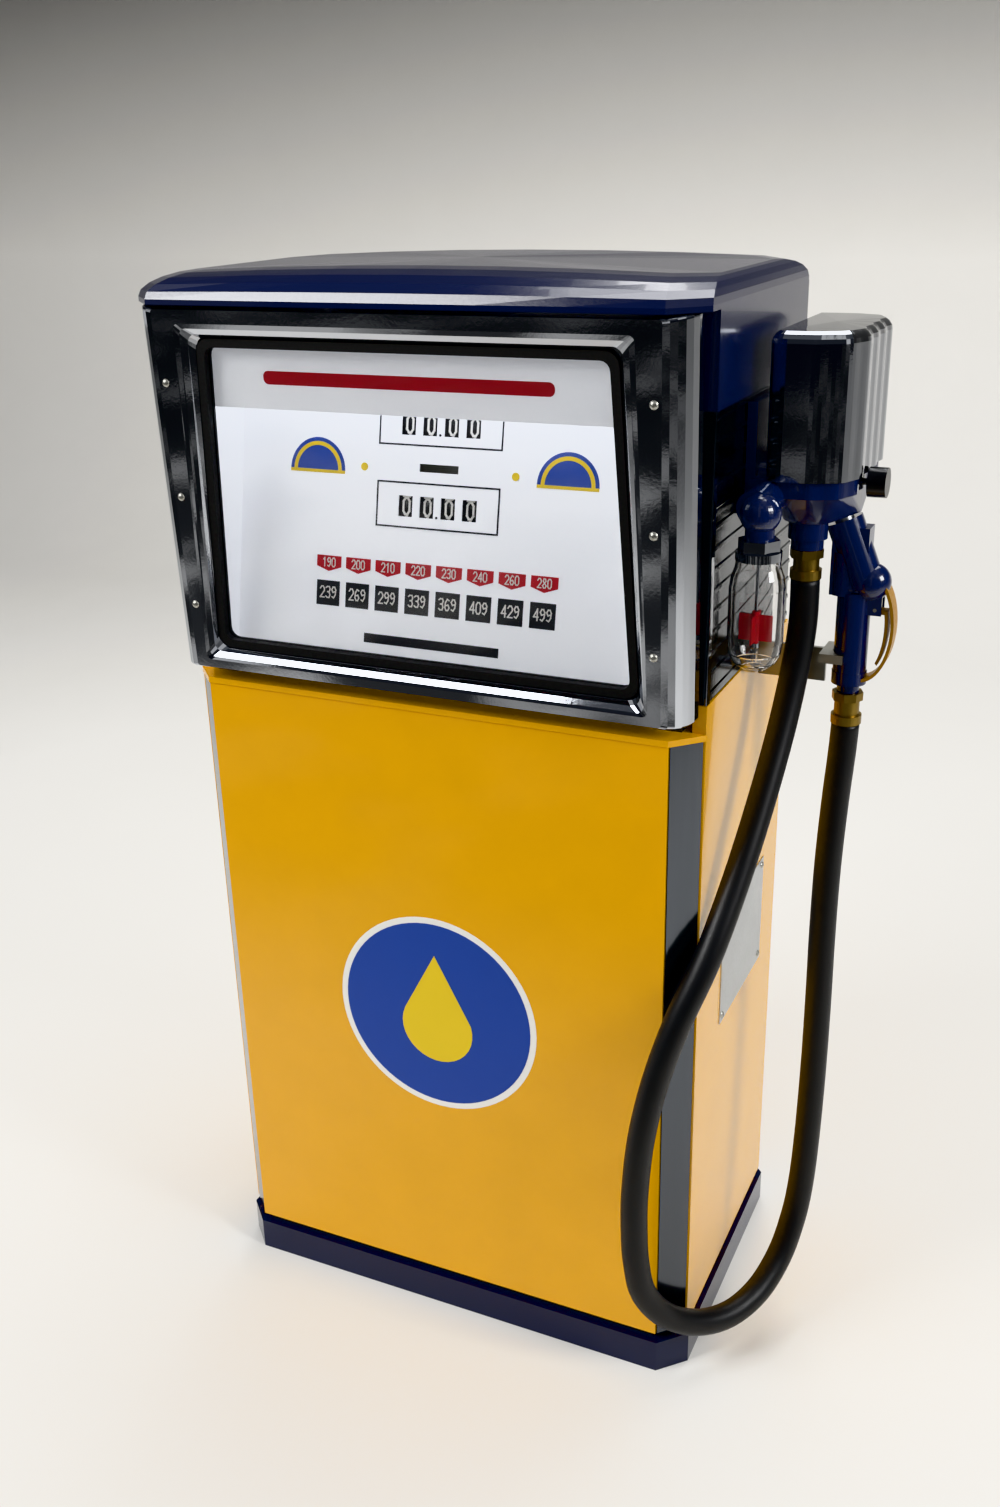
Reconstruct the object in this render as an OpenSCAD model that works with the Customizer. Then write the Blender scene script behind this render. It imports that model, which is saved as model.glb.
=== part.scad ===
// Two-product blending fuel pump, one dial face, one hose on its right-hand side.
// Millimetres, +Z up, +X to the right, the customer stands on the -Y side.
// The origin is the middle of the base's footprint, on the floor.

/* [Cabinet] */
// Overall width of the cabinet
cab_w = 720; // [700:5:740]
// Overall depth of the cabinet
cab_d = 450; // [445:5:460]
// Height of the base plinth
plinth_h = 50; // [44:2:56]
// How far the plinth stands out past the cabinet
plinth_out = 4; // [2:1:8]
// Height of the yellow ledge under the dial
ledge_z = 960; // [950:5:965]
// Thickness of the sheet metal
sheet = 2; // [1.5:0.5:2.5]

/* [Head] */
// Forward lean of the dial bezel, in degrees
lean = 2.6; // [2:0.2:3]
// Height of the bezel, measured along its face
bezel_h = 465; // [460:1:468]
// Half width of the bezel at its front
bezel_hw = 327; // [320:1:330]
// Lower edge of the roof's side skirts
skirt_z = 1340; // [1330:5:1350]
// Top of the roof at its middle
roof_z = 1486; // [1480:1:1492]
// Spacing of the ribs on the stainless panels
rib_pitch = 25; // [20:1:30]

/* [Register] */
// Width of one counter wheel
wheel_w = 22; // [18:1:24]
// Radius of one counter wheel
wheel_r = 34; // [30:1:36]
// Spacing of the counter wheels
wheel_pitch = 29.5; // [28:0.5:31]
// Diameter of the counter shafts
shaft_d = 8; // [6:1:9]

/* [Hose side] */
// Outside diameter of the hose
hose_d = 36; // [32:1:38]
// Height of the chromed canopy
canopy_h = 170; // [150:5:180]
// Diameter of the nozzle's spout
spout_d = 24; // [21:1:25]
// Length of the nozzle's spout
spout_len = 140; // [110:5:145]
// Tilt of the nozzle's spout from upright, in degrees
spout_tilt = 22; // [20:1:24]

/* [Hidden] */
$fn = 48;

yellow = "gold";
navy = "midnightblue";
steel = "silver";
dark = "dimgray";

corner = 35;                    // leg of the 45 degree corners, in plan
hx = cab_w / 2;                 // half width, at the side panels
hy = cab_d / 2;                 // half depth, at the front and rear panels
fx = hx - corner;               // half width of the front and rear faces
sy = hy - corner;               // half depth of the side faces
panel_z = 62;                   // lower edge of the panels
ledge_t = 8;                    // thickness of the ledge
panel_top = ledge_z - ledge_t - 1;
side_top = ledge_z + 35;        // top edge of the yellow side panels
post_w = 30;                    // square uprights
post_x = hx - 44;
post_y = sy - 12;
head_z = side_top + 1;          // lower edge of the head's side panels
frame_top = 1438;               // top of the uprights
head_rear = hy - 10;            // rear face of the head
head_sy = head_rear - corner;   // rear edge of the head's side faces
face_y = -hy - 24;              // lower front edge of the bezel
face_z = ledge_z + 20;
rib_h = 1.5;

// The register's dial leans back inside the bezel
dial_d0 = 44;                   // depth of the dial's lower edge behind the bezel's face
dial_h0 = 12;                   // height of that edge
dial_lean = 14;
dial_len = 343;
sale_s = 310;                   // places of the two counters along the dial
gallons_s = 210;
counter_y = 4 + wheel_r;        // depth of the counter shafts behind the dial
counter_x = [for (i = [0:3]) (1.5 - i) * wheel_pitch];

// Hose side
canopy_z = 1242;
canopy_x0 = hx + 24;
canopy_x1 = hx + 130;
canopy_y0 = -80;
canopy_y1 = 150;
outlet_x = hx + 64;             // hose outlet, on the y = 0 plane
outlet_z = 1109;                // lower end of the brass outlet fitting
glass_x = hx + 38;              // sight glass
glass_y = -130;
handle_x = hx + 120;            // handle of the hung nozzle
handle_y = 30;
swivel_z = 915;                 // lower end of the nozzle's swivel
spout_x = hx + 101;             // root of the spout
spout_z = 1180;
knob_y = 8;
knob_z = 1231;
switch_y = -40;
switch_z = 1052;

// Drive
pulley_y = -115;                // plane of the belt
motor_x = -165;
motor_z = 190;
pump_x = 130;
pump_z = 205;
motor_r = 46;                   // belt radius on the motor's pulley
pump_r = 92;                    // belt radius on the pump's pulley
shaft_y = -80;                  // upright shaft from the meters to the register
riser_x = [60, 200];            // suction pipes
riser_y = 170;
conduit_x = -274;
conduit_y = 105;
pipe_y = -82;                   // pipes from the meters up to the hose outlet
pipe_z = 1232;

// Centreline of the hose, from the outlet fitting to the nozzle's swivel
hose_route = [
    [424, 0, 1109], [424, 0, 1050], [419, -12, 985], [413, -42, 915], [404, -90, 835],
    [392, -148, 750], [375, -207, 665], [349, -241, 585], [327, -257, 500], [313, -266, 415],
    [307, -269, 330], [307, -269, 270], [310, -268, 220], [319, -261, 164], [344, -239, 116],
    [378, -203, 84], [412, -158, 73], [439, -109, 84], [457, -63, 116], [467, -32, 164],
    [472, -16, 220], [474, -5, 300], [474, 6, 400], [473, 13, 500], [471, 19, 610],
    [471, 24, 710], [474, 28, 800], [478, 30, 870], [480, 30, 915]];

// ---------------------------------------------------------------- shared shapes

// Plan of the cabinet: a rectangle with its corners cut at 45 degrees
module plan(x, y0, y1, c = corner)
    polygon([[-x, y0 + c], [c - x, y0], [x - c, y0], [x, y0 + c],
             [x, y1 - c], [x - c, y1], [c - x, y1], [-x, y1 - c]]);

module slab(z0, z1) translate([0, 0, z0]) linear_extrude(z1 - z0) children();

module box(x0, x1, y0, y1, z0, z1)
    translate([x0, y0, z0]) cube([x1 - x0, y1 - y0, z1 - z0]);

module both_sides() { children(); mirror([1, 0, 0]) children(); }

// A cylinder along X or Y, from a start point
module rod_x(x0, x1, y, z, d) translate([x0, y, z]) rotate([0, 90, 0]) cylinder(d = d, h = x1 - x0);
module rod_y(y0, y1, x, z, d) translate([x, y0, z]) rotate([-90, 0, 0]) cylinder(d = d, h = y1 - y0);
module rod_z(z0, z1, x, y, d) translate([x, y, z0]) cylinder(d = d, h = z1 - z0);

// The leaning plane of the bezel: x across, y into the head, z up the face
module on_face() translate([0, face_y, face_z]) rotate([lean, 0, 0]) children();

// The plane of the dial, inside that one
module on_dial() on_face() translate([0, dial_d0, dial_h0]) rotate([-dial_lean, 0, 0]) children();

// The spout's axis: z runs up the spout from its root
module on_spout() translate([spout_x, handle_y, spout_z]) rotate([0, -spout_tilt, 0]) children();

// Outline of an opening that is a little wider at its foot, with rounded corners
function opening(wb, wt, z0, z1, r) = [
    for (k = [[wb - r, z0 + r, -90], [wt - r, z1 - r, 0], [r - wt, z1 - r, 90], [r - wb, z0 + r, 180]])
        for (i = [0:4]) [k[0] + r * cos(k[2] + i * 22.5), k[1] + r * sin(k[2] + i * 22.5)]];

// A plate in the bezel's plane, between two depths
module face_plate(d0, d1)
    translate([0, d1, 0]) rotate([90, 0, 0]) linear_extrude(d1 - d0) children();

// ---------------------------------------------------------------- base and cabinet

module base_plinth() {
    out = plinth_out;
    module ring(w) difference() {
        plan(hx + out, -hy - out, hy + out, corner + 1);
        plan(hx + out - w, w - hy - out, hy + out - w, corner + 1);
    }
    color(navy) difference() {
        union() {
            slab(0, plinth_h) ring(4);
            slab(0, 5) ring(60);
            slab(plinth_h - 3, plinth_h) ring(30);
        }
        for (x = [-1, 1], y = [-1, 1]) rod_z(-1, 10, x * (hx - 25), y * 130, 14);
        for (x = riser_x) rod_z(-1, 10, x, riser_y, 60);
    }
}

module base_pan() {
    color(dark) difference() {
        slab(plinth_h, plinth_h + 3) plan(hx - 8, 8 - hy, hy - 8);
        for (x = [-1, 1], y = [-1, 1]) rod_z(0, 100, x * (hx - 25), y * 130, 40);
        for (x = riser_x) rod_z(0, 100, x, riser_y, 60);
        rod_z(0, 100, conduit_x, conduit_y, 36);
    }
}

module uprights() {
    color(dark)
        for (x = [-1, 1], y = [-1, 1]) translate([x * post_x, y * post_y, plinth_h + 3])
            linear_extrude(frame_top - plinth_h - 3) difference() {
                square(post_w, center = true);
                square(post_w - 6, center = true);
            }
}

// A shallow pan with its open side towards +Y
module pan_y(w, z0, z1, deep)
    difference() {
        box(-w, w, 0, deep, z0, z1);
        box(sheet - w, w - sheet, sheet, deep + 1, z0 + sheet, z1 - sheet);
    }

module front_panel() {
    color(yellow) translate([0, -hy, 0]) pan_y(fx, panel_z, panel_top, 20);
}

module rear_panel() {
    color(yellow) difference() {
        translate([0, hy, 0]) mirror([0, 1, 0]) pan_y(fx, panel_z, panel_top, 20);
        rod_y(hy - 10, hy + 10, 0, panel_top - 60, 22.1);
    }
}

module side_panel() {
    back = 17;                  // depth of the returns at the panel's edges
    difference() {
        box(hx - back, hx, -sy, sy, panel_z, side_top);
        box(hx - back - 1, hx - sheet, sheet - sy, sy - sheet, panel_z + sheet, side_top - sheet);
    }
}

module side_panel_right() color(yellow) side_panel();

module side_panel_left() color(yellow) mirror([1, 0, 0]) side_panel();

module corner_strips() {
    gap = 3;
    color(steel) both_sides()
        for (k = [1, -1]) scale([1, k, 1])
            translate([fx, -hy, panel_z]) rotate([0, 0, 45])
                translate([gap, 0.5, 0]) cube([corner * sqrt(2) - 2 * gap, 1.5, panel_top - panel_z]);
}

module cabinet_ledges() {
    lip = 2;
    module half() difference() {
        union() {
            intersection() {
                plan(hx + 1, -hy - lip, hy + lip, corner + 1);
                translate([-hx - 5, -hy - lip - 1]) square([cab_w + 10, corner + lip + 0.6]);
            }
            translate([-hx + 20, -sy - 1]) square([cab_w - 40, 41]);
        }
        for (x = [-1, 1]) translate([x * post_x, -post_y]) square(post_w + 0.4, center = true);
    }
    color(yellow) for (k = [1, -1]) scale([1, k, 1]) slab(ledge_z - ledge_t, ledge_z) half();
}

// ---------------------------------------------------------------- head

module head_frame() {
    in = post_x - post_w / 2;
    front = -post_y - post_w / 2;
    color(dark) {
        for (z = [ledge_z + 3, frame_top - 26]) {
            for (k = [1, -1]) scale([1, k, 1]) box(-in, in, front, front + 24, z, z + 26);
            both_sides() box(in + 2, in + 22, front + post_w, -front - post_w, z, z + 26);
        }
        // cheeks and flanges that carry the bezel in front of the uprights
        both_sides() {
            translate([in + post_w, 0, 0]) rotate([90, 0, 90]) linear_extrude(3)
                polygon([[face_y + 46.5, face_z + 3], [-post_y, face_z + 3], [-post_y, frame_top],
                         [face_y + 46.5 - (frame_top - face_z) * tan(lean), frame_top]]);
            on_face() box(in + post_w, bezel_hw + 25, 46.1, 49, 10, bezel_h - 10);
        }
        // shelf for the register
        both_sides() box(in + 2, in + 22, front + post_w, -front - post_w, 1085, 1105);
        for (y = [-130, -55]) box(-in - 2, in + 2, y, y + 20, 1085, 1105);
        // bearer under the roof
        box(-12, 12, front + 24, -front - 24, frame_top - 20, frame_top);
        for (y = [-80, 60]) rod_z(frame_top, roof_z - 3.4, 0, y, 16);
    }
}

// Ring-shaped polyhedron through outlines that share a point count: [outline, depth]
module ring_solid(loops) {
    n = len(loops);
    m = len(loops[0][0]);
    points = [for (l = loops) for (p = l[0]) [p[0], l[1], p[1]]];
    faces = [for (i = [0:n - 1]) for (j = [0:m - 1])
        let (a = i * m + j, b = i * m + (j + 1) % m, c = ((i + 1) % n) * m + (j + 1) % m,
             d = ((i + 1) % n) * m + j)
        each [[a, b, c], [a, c, d]]];
    polyhedron(points, faces, convexity = 6);
}

module bezel() {
    w = bezel_hw;
    h = bezel_h;
    side = 27;                  // the returns spread by this at the sides
    wall = 4;
    // quarter of an ellipse round the outer edge, from the front band back to the return
    round = [for (a = [90:-15:0]) let (x = w - wall + (side + wall) * sin(a), rim = wall * (1 - sin(a)))
                [opening(x, x, rim, h - rim, 4), 46 * (1 - cos(a))]];
    within = [for (a = [0:18:90]) [opening(w - 8 + (side + 3) * sin(a), w - 8 + (side + 3) * sin(a),
                                           8 - 4 * sin(a), h - 8 + 4 * sin(a), 4),
                                   wall + 42 * (1 - cos(a))]];
    color(steel) on_face() ring_solid(concat(round, [
        [opening(w - 20, w - 34, 15, h - 20, 8), 0],
        [opening(w - 25, w - 41, 19, h - 26, 9), 1.5],
        [opening(w - 31, w - 49, 25, h - 33, 12), 6],
        [opening(w - 35, w - 55, 30, h - 38, 15), 14],
        [opening(w - 35, w - 55, 30, h - 38, 15), 19],
        [opening(w - 31, w - 51, 26, h - 34, 14), 19],
        [opening(w - 27, w - 45, 21, h - 29, 12), 11],
        [opening(w - 20, w - 35, 15, h - 20, 8), 5]], within));
}

// Outline of the glass opening, grown by g
function glass_outline(g) =
    opening(bezel_hw - 46 + g, bezel_hw - 66 + g, 41 - g, bezel_h - 49 + g, 12 + g / 2);

module glass_gasket() {
    color("black") on_face() difference() {
        union() {
            face_plate(12, 19.3) polygon(glass_outline(10.6));
            face_plate(19.3, 29) polygon(glass_outline(18));
        }
        face_plate(0, 40) polygon(glass_outline(0));
        face_plate(20.8, 25.2) polygon(glass_outline(6));
    }
}

module dial_glass() color("azure", 0.3) on_face() face_plate(21, 25) polygon(glass_outline(5.5));

// Deep white plastic tray: sloping dial, side walls, and a valance in front of the lamp
module dial_plate() {
    w = 288;
    t = 2;
    foot = 30;                  // depth of the tray's front edge
    top = 424;
    head_h = 342;               // lower edge of the valance
    end_d = dial_d0 + dial_len * sin(dial_lean);
    end_h = dial_h0 + dial_len * cos(dial_lean);
    // the tray's section, depth against height, from its lower lip round to the valance
    section = [[foot, dial_h0 - t], [dial_d0 + t, dial_h0 - t], [end_d + t, end_h], [end_d + t, top + t],
               [foot, top + t], [foot, head_h], [foot + t, head_h], [foot + t, top], [end_d, top],
               [end_d, end_h], [dial_d0, dial_h0], [foot, dial_h0]];
    color("white") on_face() {
        difference() {
            translate([1 - w, 0, 0]) rotate([90, 0, 90]) linear_extrude(2 * w - 2) polygon(section);
            translate([0, dial_d0, dial_h0]) rotate([-dial_lean, 0, 0]) {
                for (s = [sale_s, gallons_s], x = counter_x) box(x - 10, x + 10, -5, 5, s - 13, s + 13);
                box(-27, 27, -5, 5, 253, 263);
            }
        }
        both_sides() translate([w - t, 0, 0]) rotate([90, 0, 90]) linear_extrude(t)
            polygon([[foot, dial_h0 - t], [dial_d0 + t, dial_h0 - t], [end_d + t, end_h],
                     [end_d + t, top + t], [foot, top + t]]);
    }
}

// Section of a ribbed panel, x outwards and z up
module ribbed(z0, z1) {
    n = floor((z1 - z0 - 10) / rib_pitch);
    rib = [for (i = [0:n]) let (z = z0 + 10 + i * rib_pitch)
        each [[hx - rib_h, z - 4], [hx, z - 2], [hx, z + 2], [hx - rib_h, z + 4]]];
    polygon(concat([[hx - rib_h - 1.5, z0], [hx - rib_h, z0]], rib,
                   [[hx - rib_h, z1], [hx - rib_h - 1.5, z1]]));
}

module head_side()
    translate([0, head_sy, 0]) rotate([90, 0, 0])
        linear_extrude(head_sy + sy - 12) ribbed(head_z, skirt_z);

module head_side_right() {
    color(steel) difference() {
        head_side();
        for (y = [-30, 30]) rod_x(hx - 10, hx + 10, y, pipe_z, 52);
        rod_x(hx - 10, hx + 10, switch_y, switch_z, 12);
    }
}

module head_side_left() color(steel) mirror([1, 0, 0]) head_side();

module head_rear_panel() {
    color(navy) difference() {
        translate([0, head_rear, 0]) mirror([0, 1, 0]) pan_y(fx, ledge_z + 10, 1440, 18);
        // louvres that cool the lamp
        for (i = [0:5]) box(-110, 110, head_rear - 5, head_rear + 5, 1330 + i * 14, 1334 + i * 14);
    }
}

module head_trims() {
    gap = 3;
    color(steel) both_sides() {
        box(hx - 14, hx, -sy, 11.5 - sy, head_z, skirt_z - 2);
        translate([fx, head_rear, head_z]) rotate([0, 0, -45])
            translate([gap, -2, 0]) cube([corner * sqrt(2) - 2 * gap, 1.5, 1440 - head_z]);
    }
}

// One level of the roof: the brim's outline drawn in by the three insets, with its edges
// divided so that the top can fall away to both sides
function roof_level(z, front, rear, side) =
    let (x = hx + 6 - side, y0 = front - 273, y1 = 217 - rear, c = 39,
         p = [[-x, y0 + c], [c - x, y0], [x - c, y0], [x, y0 + c],
              [x, y1 - c], [x - c, y1], [c - x, y1], [-x, y1 - c]])
    [for (i = [0:7]) for (j = [0:5]) let (q = p[i] + (p[(i + 1) % 8] - p[i]) * j / 6)
        [q[0], q[1], z - crown * pow(q[0] / hx, 2) * max(0, z - brim_z) / (roof_z - brim_z)]];

crown = 9;                      // how much the roof's top falls away to the sides
brim_z = 1452;

// A closed solid through level outlines that share a point count, closed at the top by one point
module loft(levels, peak) {
    m = len(levels[0]);
    n = len(levels);
    walls = [for (i = [0:n - 2]) for (j = [0:m - 1])
        let (a = i * m + j, b = i * m + (j + 1) % m) each [[a, b + m, b], [a, a + m, b + m]]];
    top = [for (j = [0:m - 1]) [(n - 1) * m + j, n * m, (n - 1) * m + (j + 1) % m]];
    polyhedron(concat([for (l = levels) each l], [peak]),
               concat(walls, top, [[for (j = [0:m - 1]) j]]), convexity = 4);
}

module roof_solid(inset, z_low) {
    rise = roof_z - brim_z - inset;
    loft(concat([roof_level(z_low, inset, inset, inset)],
                [for (t = [0, 18, 36, 54, 72, 90])
                    roof_level(brim_z + rise * sin(t), inset + 98 * (1 - cos(t)),
                               inset + 92 * (1 - cos(t)), inset + 22 * (1 - cos(t)))]),
         [0, -24, roof_z - inset]);
}

module roof_cap() {
    front = -203;
    color(navy) {
        difference() {
            roof_solid(0, 1446);
            roof_solid(3, 1440);
        }
        both_sides() {
            box(hx + 3, hx + 6, front - 3, head_sy, skirt_z, 1447);
            box(hx - 14, hx + 6, front - 3, front, skirt_z, 1447);
        }
    }
}

lamp_d = 85;
lamp_h = 388;

module lamp_tube() color("ivory") on_face() rod_x(-262, 262, lamp_d, lamp_h, 26);

module lamp_holders() {
    color("whitesmoke") on_face() both_sides()
        box(262, 286, lamp_d - 15, lamp_d + 15, lamp_h - 18, lamp_h + 18);
}

// ---------------------------------------------------------------- register

module computer_frame() {
    w = 72;
    t = 3;
    color("darkgray") {
        on_dial() difference() {
            union() {
                both_sides() box(w, w + t, 3, 95, 165, 352);
                box(-w - t, w + t, 92, 95, 165, 352);
            }
            for (s = [sale_s, gallons_s]) rod_x(-100, 100, counter_y, s, shaft_d + 0.02);
        }
        // feet and the gearbox above the upright shaft
        both_sides() box(w + t, w + 2 * t, -125, -40, 1105, 1215);
        difference() {
            box(-35, 35, -115, -45, 1105, 1148);
            rod_z(1100, 1130, 0, shaft_y, 10.1);
        }
    }
}

module counter_shafts() {
    color(steel) on_dial() for (s = [sale_s, gallons_s]) rod_x(-75, 75, counter_y, s, shaft_d);
}

// One counter wheel; the digits are on its rim
module counter_wheel(s, i) {
    color("black") on_dial() translate([counter_x[i - 1], counter_y, s]) rotate([0, 90, 0])
        difference() {
            union() {
                difference() {
                    cylinder(r = wheel_r, h = wheel_w, center = true, $fn = 80);
                    for (k = [-1, 1]) translate([0, 0, k * (wheel_w / 2 - 2)])
                        cylinder(r = wheel_r - 4, h = 8, center = true);
                }
                cylinder(d = 16, h = wheel_w, center = true);
            }
            cylinder(d = shaft_d + 0.1, h = wheel_w + 2, center = true);
        }
}

module sale_wheel_1() counter_wheel(sale_s, 1);
module sale_wheel_2() counter_wheel(sale_s, 2);
module sale_wheel_3() counter_wheel(sale_s, 3);
module sale_wheel_4() counter_wheel(sale_s, 4);
module gallons_wheel_1() counter_wheel(gallons_s, 1);
module gallons_wheel_2() counter_wheel(gallons_s, 2);
module gallons_wheel_3() counter_wheel(gallons_s, 3);
module gallons_wheel_4() counter_wheel(gallons_s, 4);

module drive_shaft() {
    color(steel) {
        rod_z(600, 1129, 0, shaft_y, 10);
        rod_z(626, 660, 0, shaft_y, 22);
        rod_z(1060, 1084, 0, shaft_y, 22);
    }
}

// ---------------------------------------------------------------- hose side

// Plan of the canopy, drawn in by g: large fluted corners at its outer end
module canopy_plan(g) polygon(canopy_outline(g));

// How far n shallow flutes draw a wall in, at a place t from 0 to 1 along it
function flutes(t, n) = 1.4 * (1 - cos(360 * n * t));

function canopy_outline(g) =
    let (x0 = canopy_x0 + g, x1 = canopy_x1 - g, y0 = canopy_y0 + g, y1 = canopy_y1 - g, r = 55 - g,
         s = 22 - g)
    concat([[x0, y1]],
           [for (a = [180:15:270]) [x0 + s + s * cos(a), y0 + s + s * sin(a)]],
           [for (a = [-90:5:0]) let (q = r - flutes((a + 90) / 90, 2))
               [x1 - r + q * cos(a), y0 + r + q * sin(a)]],
           [for (k = [1:20]) [x1 - flutes(k / 21, 3), y0 + r + k / 21 * (y1 - y0 - 2 * r)]],
           [for (a = [0:5:90]) let (q = r - flutes(a / 90, 2))
               [x1 - r + q * cos(a), y1 - r + q * sin(a)]]);

module outlet_casting() {
    tray = 1222;
    arm_x = hx + 30;            // arm that carries the sight glass
    color(navy) difference() {
        union() {
            box(hx, hx + 12, -64, 64, 1198, 1330);
            for (y = [-30, 30]) rod_x(hx, hx + 23, y, pipe_z - 4, 56);
            rod_y(glass_y, -10, arm_x, 1220, 42);
            translate([glass_x, glass_y, 1215]) sphere(24);
            rod_z(1186, 1215, glass_x, glass_y, 34);
            box(hx + 8, canopy_x0 + 10, -70, 140, tray, canopy_z);
            slab(tray, canopy_z) canopy_plan(5);
            hull() {
                slab(tray - 1, tray) canopy_plan(10);
                slab(1182, 1184) translate([outlet_x, 5]) circle(32);
                slab(1190, 1192) translate([spout_x - 6, handle_y]) circle(26);
            }
            rod_z(1160, 1186, outlet_x, 0, 48);
            rod_z(outlet_z + 38, 1162, outlet_x, 0, 40);
        }
        on_spout() translate([0, 0, -30]) cylinder(d = spout_d + 16, h = 120);
        rod_x(hx + 110, hx + 140, knob_y, knob_z, 8.1);
        rod_z(1140, 1200, outlet_x, 0, 20);
    }
}

// Outside of the canopy, drawn in by g, from a height up
module canopy_solid(g, z0) {
    top = canopy_z + canopy_h - g;
    loft([for (k = [[0, z0], [0, top - 14], [1, top - 9], [4.5, top - 4], [9, top - 1]])
             [for (q = canopy_outline(g + k[0])) [q[0], q[1], k[1]]]],
         [(canopy_x0 + canopy_x1) / 2, (canopy_y0 + canopy_y1) / 2, top]);
}

module outlet_canopy() {
    color("gainsboro") difference() {
        canopy_solid(0, canopy_z);
        canopy_solid(3, canopy_z - 5);
    }
}

module selector_knob() {
    color("black") {
        rod_x(canopy_x1 + 2, canopy_x1 + 24, knob_y, knob_z, 36);
        rod_x(canopy_x1 - 18, canopy_x1 + 3, knob_y, knob_z, 8);
    }
}

module sight_glass_nut() {
    pin = 4;
    color(steel) translate([glass_x, glass_y, 0]) {
        translate([0, 0, 1172]) cylinder(r = 25, h = 14, $fn = 6);
        rod_z(1162, 1172, 0, 0, 54);
        rod_z(1060, 1163, 0, 0, pin);
        rod_z(1056, 1061, 0, 0, 10);
    }
}

module sight_glass() {
    top = 133.8;
    color("azure", 0.35) translate([glass_x, glass_y, 1028]) rotate_extrude()
        polygon([[0, 0], [15, 2], [25, 9], [31, 21], [33, 36], [33, 100], [31, 114], [27, 125], [26, top],
                 [23, top], [24, 124], [28, 113], [30, 100], [30, 36], [28, 22], [23, 12], [14, 5], [0, 3]]);
}

module sight_spinner() {
    color("red") translate([glass_x, glass_y, 0]) difference() {
        union() {
            rod_z(1061.5, 1100, 0, 0, 9);
            for (a = [0:90:270]) rotate([0, 0, a]) box(3, 20, -1, 1, 1064, 1096);
        }
        rod_z(1050, 1110, 0, 0, 4.1);
    }
}

module outlet_fitting() {
    color("goldenrod") {
        rod_z(outlet_z, outlet_z + 28, outlet_x, 0, 32);
        translate([outlet_x, 0, outlet_z + 27]) cylinder(r = 21, h = 11, $fn = 8);
    }
}

// Unit vector along the route at point i
function unit(v) = v / norm(v);
function hose_dir(i) = let (n = len(hose_route) - 1)
    i == 0 || i == n ? [0, 0, i == 0 ? -1 : 1]
                     : unit(hose_route[i + 1] - hose_route[i - 1]);

module hose() {
    sides = 12;
    n = len(hose_route);
    points = [for (i = [0:n - 1])
        let (t = hose_dir(i), u = unit(cross(t, [0.8, -0.6, 0])), v = cross(t, u))
        for (k = [0:sides - 1]) hose_route[i] + hose_d / 2 * (u * cos(k * 30) + v * sin(k * 30))];
    walls = [for (i = [0:n - 2]) for (k = [0:sides - 1])
        let (a = i * sides + k, b = i * sides + (k + 1) % sides)
        each [[a, b, b + sides], [a, b + sides, a + sides]]];
    color("black") polyhedron(points, concat(walls, [[for (k = [sides - 1:-1:0]) k],
        [for (k = [0:sides - 1]) (n - 1) * sides + k]]), convexity = 8);
}

// ---------------------------------------------------------------- nozzle

ball_x = handle_x + 20;
ball_z = 1103;
pin_x = ball_x + 8;             // pin that the lever turns on
pin_z = 1070;

module nozzle_body() {
    color(navy) difference() {
        union() {
            rod_z(930, 960, handle_x, handle_y, 20);
            rod_z(958, 972, handle_x, handle_y, 28);
            rod_z(970, 986, handle_x, handle_y, 44);
            rod_z(985, 1090, handle_x, handle_y, 42);
            box(handle_x - 29, handle_x + 16, handle_y - 15, handle_y + 15, 1086, 1172);
            translate([ball_x, handle_y, ball_z]) sphere(24);
            rod_x(handle_x - 10, ball_x, handle_y, ball_z - 4, 38);
            rod_z(1086, 1140, handle_x - 12, handle_y, 40);
            on_spout() translate([0, 0, -88]) cylinder(d = 46, h = 87);
            // lugs for the lever's pin
            for (y = [handle_y - 11, handle_y + 7])
                box(handle_x + 12, ball_x + 16, y, y + 4, pin_z - 7, 1092);
        }
        rod_y(handle_y - 20, handle_y + 20, pin_x, pin_z, 5.02);
        on_spout() translate([0, 0, -20]) cylinder(d = spout_d + 0.4, h = 30);
    }
}

module nozzle_spout() {
    color(steel) on_spout() translate([0, 0, -20]) difference() {
        cylinder(d = spout_d, h = 20 + spout_len);
        translate([0, 0, 4]) cylinder(d = spout_d - 3, h = 20 + spout_len);
    }
}

// Points of an arc of the guard's ellipse, in the x-z plane
function guard_arc(rx, rz, a0, a1, n) = [for (i = [0:n]) let (a = a0 + (a1 - a0) * i / n)
    [handle_x + 15 + rx * cos(a), 1047 + rz * sin(a)]];

module bow(y0, y1, pts)
    translate([0, y1, 0]) rotate([90, 0, 0]) linear_extrude(y1 - y0) polygon(pts);

module nozzle_guard() {
    color(navy) difference() {
        bow(handle_y - 13, handle_y + 13,
            concat(guard_arc(38, 72, -92, 76, 24), guard_arc(34, 68, 76, -92, 24)));
        translate([ball_x, handle_y, ball_z]) sphere(24.1);
        rod_z(950, 986, handle_x, handle_y, 44.1);
    }
}

module nozzle_lever() {
    color("goldenrod") difference() {
        union() {
            bow(handle_y - 9, handle_y + 9,
                concat(guard_arc(30, 66, -48, 20, 16), guard_arc(26, 62, 20, -48, 16)));
            rod_y(handle_y - 6.5, handle_y + 6.5, pin_x, pin_z, 12);
            box(pin_x, pin_x + 15, handle_y - 6.5, handle_y + 6.5, pin_z - 6, pin_z);
        }
        rod_y(handle_y - 20, handle_y + 20, pin_x, pin_z, 5.1);
    }
}

module lever_pin() color(steel) rod_y(handle_y - 11, handle_y + 11, pin_x, pin_z, 5);

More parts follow.
